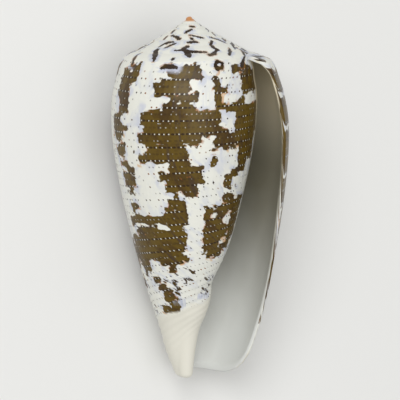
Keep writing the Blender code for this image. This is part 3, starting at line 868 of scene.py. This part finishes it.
class Relief(Bench):
    """Geometry nodes that raise the cords and the growth lines from the smooth shell."""

    INPUTS = [("Cord spacing", "NodeSocketFloat", CORD_SPACING),
              ("Cord height", "NodeSocketFloat", CORD_HEIGHT),
              ("Growth line height", "NodeSocketFloat", GROWTH_HEIGHT),
              ("Seed", "NodeSocketFloat", RELIEF_SEED),
              ("Material", "NodeSocketMaterial", None)]

    def __init__(self):
        tree = bpy.data.node_groups.new("shell relief", "GeometryNodeTree")
        super().__init__(tree)
        tree.interface.new_socket("Geometry", in_out="INPUT", socket_type="NodeSocketGeometry")
        tree.interface.new_socket("Geometry", in_out="OUTPUT", socket_type="NodeSocketGeometry")
        self.identifiers = {}
        for name, kind, value in self.INPUTS:
            socket = tree.interface.new_socket(name, in_out="INPUT", socket_type=kind)
            self.identifiers[name] = (socket.identifier, value)
        self.entry = tree.nodes.new("NodeGroupInput")
        self.build()

    def entered(self, name):
        return Wire(self, self.entry.outputs[name])

    def field(self, name):
        node = self.node("GeometryNodeInputNamedAttribute", {"data_type": "FLOAT"}, {"Name": name})
        return self.wire(node, "Attribute")

    def build(self):
        turn, down, bare = self.field("turn"), self.field("down"), self.field("bare")
        spacing, seed = self.entered("Cord spacing"), self.entered("Seed")
        corded = self.rise(down, CORDS_FROM, CORDS_FULL) * (1.0 - self.rise(down, CORDS_FADE, CORDS_END))
        cord = self.floor(down / spacing + 0.5)
        nodules = NODULE_LEAST + NODULE_SPREAD * self.noise(turn * NODULES_PER_DEG, cord, seed)
        cords = self.wave(down / spacing) * nodules * corded * self.entered("Cord height")
        lines = self.noise(turn * GROWTH_LINES, down * GROWTH_DRIFT, seed + 1.0, detail=3.0) - 0.5
        scar = 1.0 - self.rise(self.size(turn - SCAR_TURN), 0.0, SCAR_HALF_WIDTH)
        faded = self.rise(down, *LINES_FADE)
        lines = lines * self.rise(down, *LINES_BEGIN) * faded
        grown = (lines - SCAR_DEPTH * scar * faded) * self.entered("Growth line height")
        height = (cords + grown) * (1.0 - bare) * MM
        normal = self.wire(self.node("GeometryNodeInputNormal", {}, {}), "Normal")
        values = {"Vector": normal, "Scale": height}
        offset = self.wire(self.node("ShaderNodeVectorMath", {"operation": "SCALE"}, values), "Vector")
        values = {"Geometry": self.entered("Geometry"), "Offset": offset}
        moved = self.node("GeometryNodeSetPosition", {}, values)
        real = self.node("GeometryNodeRealizeInstances", {}, {"Geometry": self.wire(moved, "Geometry")})
        values = {"Geometry": self.wire(real, "Geometry"), "Material": self.entered("Material")}
        dressed = self.node("GeometryNodeSetMaterial", {}, values)
        out = self.node("NodeGroupOutput", {}, {})
        self.tree.links.new(dressed.outputs["Geometry"], out.inputs["Geometry"])

    def carve(self, obj, material):
        """Raise the relief on an object and leave it a plain mesh."""
        modifier = obj.modifiers.new("relief", "NODES")
        modifier.node_group = self.tree
        for name, (identifier, value) in self.identifiers.items():
            modifier[identifier] = material if name == "Material" else value
        graph = bpy.context.evaluated_depsgraph_get()
        plain = bpy.data.meshes.new_from_object(obj.evaluated_get(graph), depsgraph=graph)
        obj.modifiers.remove(modifier)
        smooth_mesh, obj.data = obj.data, plain
        bpy.data.meshes.remove(smooth_mesh)
        plain.name = "patterned_shell"
        plain.shade_smooth()


class Paint(Bench):
    """The shell's material."""

    def __init__(self, material):
        super().__init__(material.node_tree)
        uv = self.wire(self.node("ShaderNodeUVMap", {"uv_map": "coil"}, {}), "UV")
        split = self.node("ShaderNodeSeparateXYZ", {}, {"Vector": uv})
        self.turn = self.wire(split, "X") * 360.0
        self.down = self.wire(split, "Y")
        self.along = self.turn * row_radius(self.down) * math.radians(1.0)
        line = self.down / ROW_SPACING
        self.row = self.floor(line + 0.5)
        self.across = (line - self.row) * ROW_SPACING
        self.strong = 1.0 - 2.0 * self.math("FRACT", self.row * 0.5)
        self.on_body = self.rise(self.down, 0.0, 0.05)

    def field(self, name):
        return self.wire(self.node("ShaderNodeAttribute", {"attribute_name": name}, {}), "Fac")

    def over(self, under, paint, mask):
        """Paint over a colour where the mask is 1."""
        values = {"Factor_Float": mask, "A_Color": under, "B_Color": paint}
        return self.wire(self.node("ShaderNodeMix", {"data_type": "RGBA"}, values), "Result_Color")

    def patch(self, size, seed, detail=1.0):
        """Noise in round patches of about a size."""
        return self.noise(self.along / size, self.down / size, seed, detail)

    def marks(self, period, seed):
        """Cells along each row: (distance from the cell's middle in millimetres, chance)."""
        places = self.along / period + self.chance(self.row, 0.0, seed)
        cell = self.floor(places)
        wander = (self.chance(cell, self.row, seed + 0.3) - 0.5) * MARK_WANDER
        return (places - cell - 0.5 + wander) * period, self.chance(cell, self.row, seed + 0.6)

    def spot(self, beside, above, half_length, half_height):
        """1 on a soft-edged oval, 0 off it."""
        reach = (beside / half_length) ** 2.0 + (above / half_height) ** 2.0
        return 1.0 - self.rise(reach, 0.55, 1.5)

    def ragged(self):
        """How far inside a blotch, with edges that step from row to row."""
        steps = self.noise(self.along / STEP_LENGTH, self.row * 3.71, 1.5, detail=2.0) - 0.5
        teeth = self.noise(self.along / TOOTH_LENGTH, self.down / ROW_SPACING, 2.0) - 0.5
        fray = self.noise(self.along / FRAY_LENGTH, self.down / FRAY_LENGTH, 2.5, detail=2.0) - 0.5
        inside = self.field("blotch") + BLOTCH_SPREAD
        return inside + steps * STEP_REACH + teeth * TOOTH_REACH + fray * FRAY_REACH

    def small_marks(self):
        """Short wavy brown marks on the white: how far inside one."""
        wavy = self.noise(self.along / 1.3, self.down / 1.7, 3.5, detail=3.0)
        dash = self.noise(self.along / 1.25, self.row * 5.3, 3.8) - 0.5
        thick = 0.75 - 0.21 * self.field("mottled")
        broad = self.noise(self.along / 6.0, self.down / 6.0, 4.5) - 0.5
        return wavy + dash * 0.35 + broad * 0.3 - thick

    def ground(self):
        """The white, clouded with blue-grey."""
        cloud = self.noise(self.along / CLOUD_LENGTH, self.down / CLOUD_HEIGHT, 5.5, detail=3.0)
        clouded = self.rise(cloud, 0.5, 0.72) * 0.4
        streaked = self.rise(self.greyed(), 0.05, 0.45) * 0.85
        return self.over(WHITE, BLUE_GREY, self.larger(clouded, streaked))

    def brown(self):
        """The blotches' own colour."""
        warm = self.patch(BROWN_PATCH, 6.5, detail=3.0)
        colour = self.over(OLIVE_BROWN, DEEP_BROWN, self.rise(warm, 0.42, 0.66))
        grey = self.noise(self.along / 1.3, self.down / 6.0, 7.5, detail=2.0)
        grey = grey + 0.14 * self.rise(self.down, 12.0, 7.5)
        return self.over(colour, GREY_BROWN, self.rise(grey, 0.56, 0.74) * 0.8)

    def body_colour(self):
        inside = self.ragged()
        small = self.small_marks()
        blotched = self.rise(inside, -0.1, 0.1)
        marked = self.rise(small, 0.0, 0.03)
        patched = self.larger(blotched, marked)
        colour = self.shaded(self.ground(), inside, small, blotched)
        edge_worn = (1.0 - self.rise(inside, 0.1, 0.6)) * self.rise(self.patch(WORN_PATCH, 10.5), 0.48, 0.6)
        darker = self.larger(marked * (1.0 - blotched), edge_worn)
        colour = self.over(colour, self.over(self.brown(), FLAME, darker * 0.45), patched)
        return self.dotted(self.rusted(colour, inside, patched), patched)

    def shaded(self, colour, inside, small, blotched):
        """Blue-grey shade on the white, round the blotches and under the small marks."""
        near = self.rise(inside, -2.0, -0.1) * (1.0 - blotched)
        around = near * self.rise(self.patch(SHADE_PATCH, 8.5), 0.46, 0.62)
        under = self.rise(small, -0.07, -0.01) * 0.8 * self.field("mottled")
        colour = self.over(colour, BLUE_GREY, self.larger(around, under) * 0.7)
        return self.over(colour, SCAR_GREY, self.rise(small, -0.035, -0.005) * self.field("mottled") * 0.6)

    def rusted(self, colour, inside, patched):
        """Rust along some edges of the blotches, and faint orange stains beside them."""
        rim = self.rise(inside, -0.32, -0.05) * (1.0 - self.rise(inside, 0.02, 0.22))
        rim = rim * self.rise(self.field("blotch"), -0.6, -0.4)
        colour = self.over(colour, RUST, rim * self.rise(self.patch(1.5, 9.5), 0.54, 0.64) * 0.6)
        stain = self.rise(self.patch(STAIN_PATCH, 16.5), 0.64, 0.72) * self.rise(inside, -0.9, -0.2)
        return self.over(colour, FAINT_ORANGE, stain * (1.0 - patched) * 0.8)

    def dotted(self, colour, patched):
        """Dots on the white, and white and dark dashes in turn on the brown of every other row."""
        beside, luck = self.marks(DOT_SPACING, 11.5)
        beside_middle = self.size(self.turn - DOTTED_TURN)
        thick = self.patch(DOT_PATCH, 11.2) + 0.25 * self.rise(self.down, 20.0, 44.0)
        thick = thick + 0.3 * self.rise(beside_middle, DOTTED_HALF_WIDTH, 0.6 * DOTTED_HALF_WIDTH)
        dot = self.spot(beside, self.across, DOT_HALF_LENGTH + 0.1 * luck, DOT_HALF_HEIGHT)
        dot = dot * (0.6 + 0.4 * self.strong)
        dot = dot * self.rise(luck + thick, 0.98, 1.15) * (1.0 - patched)
        colour = self.over(colour, self.over(FLAME, RUST, self.rise(luck, 0.82, 0.92) * 0.6), dot)
        beside, luck = self.marks(DASH_SPACING, 12.5)
        dark = self.spot(beside + DARK_DASH_SHIFT, self.across, *DARK_DASH) * (0.3 + 0.6 * self.strong)
        colour = self.over(colour, FLAME, dark * patched)
        light = self.spot(beside + LIGHT_DASH_SHIFT, self.across, LIGHT_DASH[0] + 0.12 * luck, LIGHT_DASH[1])
        light = light * self.rise(luck, 0.4 - 0.25 * self.strong, 0.5 - 0.25 * self.strong)
        return self.over(colour, WHITE, light * (0.4 + 0.4 * self.strong) * patched)

    def greyed(self):
        """Where growth once stopped, and along some growth lines."""
        streak = self.noise(self.turn / 1.6, self.down / 6.0, 13.5, detail=3.0)
        return self.field("greyed") * self.rise(streak, 0.3, 0.56)

    def plain_end(self, colour):
        """The plain cream narrow end, with faint dashes above it."""
        depth = self.field("plain")
        wavy = self.noise(self.along / 3.0, self.down / 2.0, 14.5, detail=2.0) - 0.5
        edge = depth + wavy * PLAIN_EDGE_REACH
        beside, luck = self.marks(FAINT_DASH_SPACING, 15.5)
        faint = self.spot(beside, self.across, *FAINT_DASH) * self.rise(luck, 0.3, 0.5)
        faint = faint * self.rise(self.turn, 40.0, 60.0) * (1.0 - self.rise(self.turn, 160.0, 180.0))
        cream = self.over(CREAM, FAINT_ORANGE, faint * (1.0 - self.rise(edge, 2.0, 6.0)) * 0.7)
        return self.over(colour, cream, self.rise(edge, -0.5, 0.4))

    def spire_colour(self):
        """Slanting flames across the whorls of the spire, where none is listed."""
        share = self.down + 1.0
        whorl = self.turn / 60.0
        drift = self.noise(whorl * 3.0, share * 1.6, 21.5, detail=2.0) - 0.5
        places = self.turn * (FLAMES_PER_TURN / 360.0) + 0.55 * share + 1.5 * drift
        flame = self.floor(places)
        beside = self.size(places - flame - 0.5)
        swell = self.noise(whorl * 5.0, share * 2.6, 23.5, detail=1.0) - 0.5
        half = 0.06 + 0.18 * self.chance(flame, 1.0, 22.5) + swell * 0.5
        begins = self.chance(flame, 2.0, 24.5) * 0.5 - 0.1
        ends = 0.8 + 0.3 * self.chance(flame, 4.0, 27.5)
        shown = self.rise(share, begins, begins + 0.14) * (1.0 - self.rise(share, ends - 0.1, ends))
        inside = (half - beside - 0.4 * (1.0 - shown)) * 3.0 - 3.0 * self.field("seen")
        return self.flamed(WHITE, inside)

    def flamed(self, colour, inside):
        """A dark flame with its blue-grey shade and its rusty rim."""
        cloud = self.noise(self.turn / 17.0, self.down / 0.9, 25.5, detail=1.0)
        on = self.rise(inside, -0.04, 0.06)
        shade = self.rise(inside, -0.9, -0.1) * self.rise(cloud, 0.48, 0.6)
        rim = self.rise(inside, -0.26, -0.05) * (1.0 - on) * self.rise(cloud, 0.54, 0.4)
        colour = self.over(colour, BLUE_GREY, shade * 0.85)
        colour = self.over(colour, RUST, rim * 0.6)
        return self.over(colour, self.over(DEEP_BROWN, FLAME, self.rise(cloud, 0.3, 0.5)), on)

    def bare_colour(self):
        """The unpatterned inside of the aperture, and the pale edge of the lip, with painted light and shade
        down its deep upper part.
        """
        lower = self.rise(self.down, 22.0, 50.0)
        cloud = self.noise(self.turn / 40.0, self.down / 9.0, 31.5, detail=2.0)
        # Painted light at the very top, then painted shade: the darker taupe down the deep upper part.
        colour = self.over(TAUPE_PAINTED_LIGHT, TAUPE_PAINTED_SHADE, self.rise(self.down, 12.0, 24.0))
        # Lower down, where the aperture opens, the inside's own light grey.
        colour = self.over(colour, INNER_GREY, self.smaller(1.0, lower + (cloud - 0.5) * 0.4))
        on_pillar = self.rise(self.down, 44.0, 50.0) * self.rise(self.turn, 330.0, 380.0)
        return self.over(colour, CREAM, on_pillar)

    def surface(self):
        """Fine growth lines and spiral threads, too low for the mesh."""
        lines = self.noise(self.turn * 1.1, self.down * 0.05, 41.5, detail=3.0) * FINE_LINE_HEIGHT
        threads = self.wave(self.down / ROW_SPACING) * THREAD_HEIGHT * self.on_body
        height = (lines + threads) * self.rise(self.down, *LINES_FADE)
        values = {"Strength": 1.0, "Distance": MM, "Height": height * (1.0 - 0.8 * self.field("bare"))}
        return self.wire(self.node("ShaderNodeBump", {}, values), "Normal")

    def finish(self):
        scarred = self.rise(self.greyed(), 0.4, 0.95) * (0.45 + 0.5 * self.wave(self.down / ROW_SPACING))
        colour = self.over(self.body_colour(), SCAR_GREY, scarred)
        colour = self.plain_end(colour)
        colour = self.over(self.spire_colour(), colour, self.on_body)
        fray = self.noise(self.turn / 3.0, self.field("depth") * 3.0, 28.5, detail=2.0) - 0.5
        colour = self.flamed(colour, self.field("in_flame") + 0.1 + fray * FLAME_FRAY)
        cap = 1.0 - self.rise(self.field("from_apex"), APEX_CAP * 0.8, APEX_CAP * 1.25)
        colour = self.over(colour, APEX_TAN, cap)
        bare = self.field("bare")
        edge = bare + (self.noise(self.along / 0.8, self.down / 2.0, 42.5, detail=2.0) - 0.5) * 0.7
        # The bare inside and the lip edge, with the aperture's painted shade and light.
        colour = self.over(colour, self.bare_colour(), self.rise(edge, 0.4, 0.6))
        gloss = self.noise(self.along / 5.0, self.down / 5.0, 43.5, detail=2.0)
        principled = self.tree.nodes["Principled BSDF"]
        roughness = ROUGHNESS + ROUGHNESS_SPREAD * gloss
        values = {"Base Color": colour, "Roughness": roughness, "Normal": self.surface()}
        for name, wire in values.items():
            self.tree.links.new(wire.socket, principled.inputs[name])
        for name, value in GLOSS.items():
            principled.inputs[name].default_value = value


def shell_material():
    material = bpy.data.materials.new("patterned shell")
    material.use_nodes = True
    Paint(material).finish()
    return material


def plain_material(name, colour, roughness):
    material = bpy.data.materials.new(name)
    material.use_nodes = True
    principled = material.node_tree.nodes["Principled BSDF"]
    principled.inputs["Base Color"].default_value = colour
    principled.inputs["Roughness"].default_value = roughness
    return material


def pale_floor():
    mesh = bpy.data.meshes.new("floor")
    half = FLOOR_HALF
    mesh.from_pydata([(-half, -half, 0.0), (half, -half, 0.0), (half, half, 0.0), (-half, half, 0.0)], [],
                     [(0, 1, 2, 3)])
    mesh.materials.append(plain_material("pale floor", FLOOR_COLOUR, 0.85))
    floor = bpy.data.objects.new("floor", mesh)
    bpy.context.scene.collection.objects.link(floor)
    return floor


def soft_light(name, location, size, power, aim):
    light = bpy.data.lights.new(name, "AREA")
    light.shape = "DISK"
    light.size = size
    light.energy = power
    lamp = bpy.data.objects.new(name, light)
    lamp.location = location
    lamp.rotation_mode = "QUATERNION"
    lamp.rotation_quaternion = (Vector(location) - aim).to_track_quat("Z", "Y")
    bpy.context.scene.collection.objects.link(lamp)
    return lamp


def room_light():
    world = bpy.data.worlds.new("soft room")
    world.use_nodes = True
    background = world.node_tree.nodes["Background"]
    background.inputs["Color"].default_value = ROOM_COLOUR
    background.inputs["Strength"].default_value = ROOM_STRENGTH
    bpy.context.scene.world = world


def camera_on(shell):
    """A long lens at the photograph's viewing angle: straight on to the aperture, the shell upright."""
    lying = resting_turn().to_3x3().normalized() @ Matrix.Rotation(math.radians(90.0), 3, "X")
    turned = lying @ photo_facing(0.0, PHOTO_TILT_DEG)
    spots = np.array([v.co for v in shell.data.vertices]) @ np.array(turned)
    low, high = spots.min(axis=0), spots.max(axis=0)
    middle = turned @ Vector((low + high) / 2)
    lens = bpy.data.cameras.new("camera")
    lens.type = "PERSP"
    lens.lens = CAMERA_LENS
    lens.sensor_width = CAMERA_SENSOR
    lens.clip_start = 0.01
    lens.clip_end = 10.0
    camera = bpy.data.objects.new("camera", lens)
    camera.rotation_mode = "QUATERNION"
    camera.rotation_quaternion = turned.to_quaternion()
    away = FRAME_HEIGHT * CAMERA_LENS / CAMERA_SENSOR
    camera.location = middle + turned @ Vector((0.0, PICTURE_DROP, away))
    bpy.context.scene.collection.objects.link(camera)
    bpy.context.scene.camera = camera


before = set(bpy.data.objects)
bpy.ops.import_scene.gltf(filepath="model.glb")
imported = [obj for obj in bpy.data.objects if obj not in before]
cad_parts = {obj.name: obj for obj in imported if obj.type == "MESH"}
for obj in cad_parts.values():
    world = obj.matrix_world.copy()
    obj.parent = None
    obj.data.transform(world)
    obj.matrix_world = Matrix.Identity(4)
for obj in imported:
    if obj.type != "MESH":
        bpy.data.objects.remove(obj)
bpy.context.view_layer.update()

shell = shell_object()
Relief().carve(shell, shell_material())
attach(shell, "root")
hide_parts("shell")

floor = pale_floor()
for name, location, size, power in LIGHTS:
    soft_light(name, location, size, power, Vector(LIGHTS_AIM))
room_light()
camera_on(shell)
bpy.context.scene.view_settings.view_transform = "Standard"
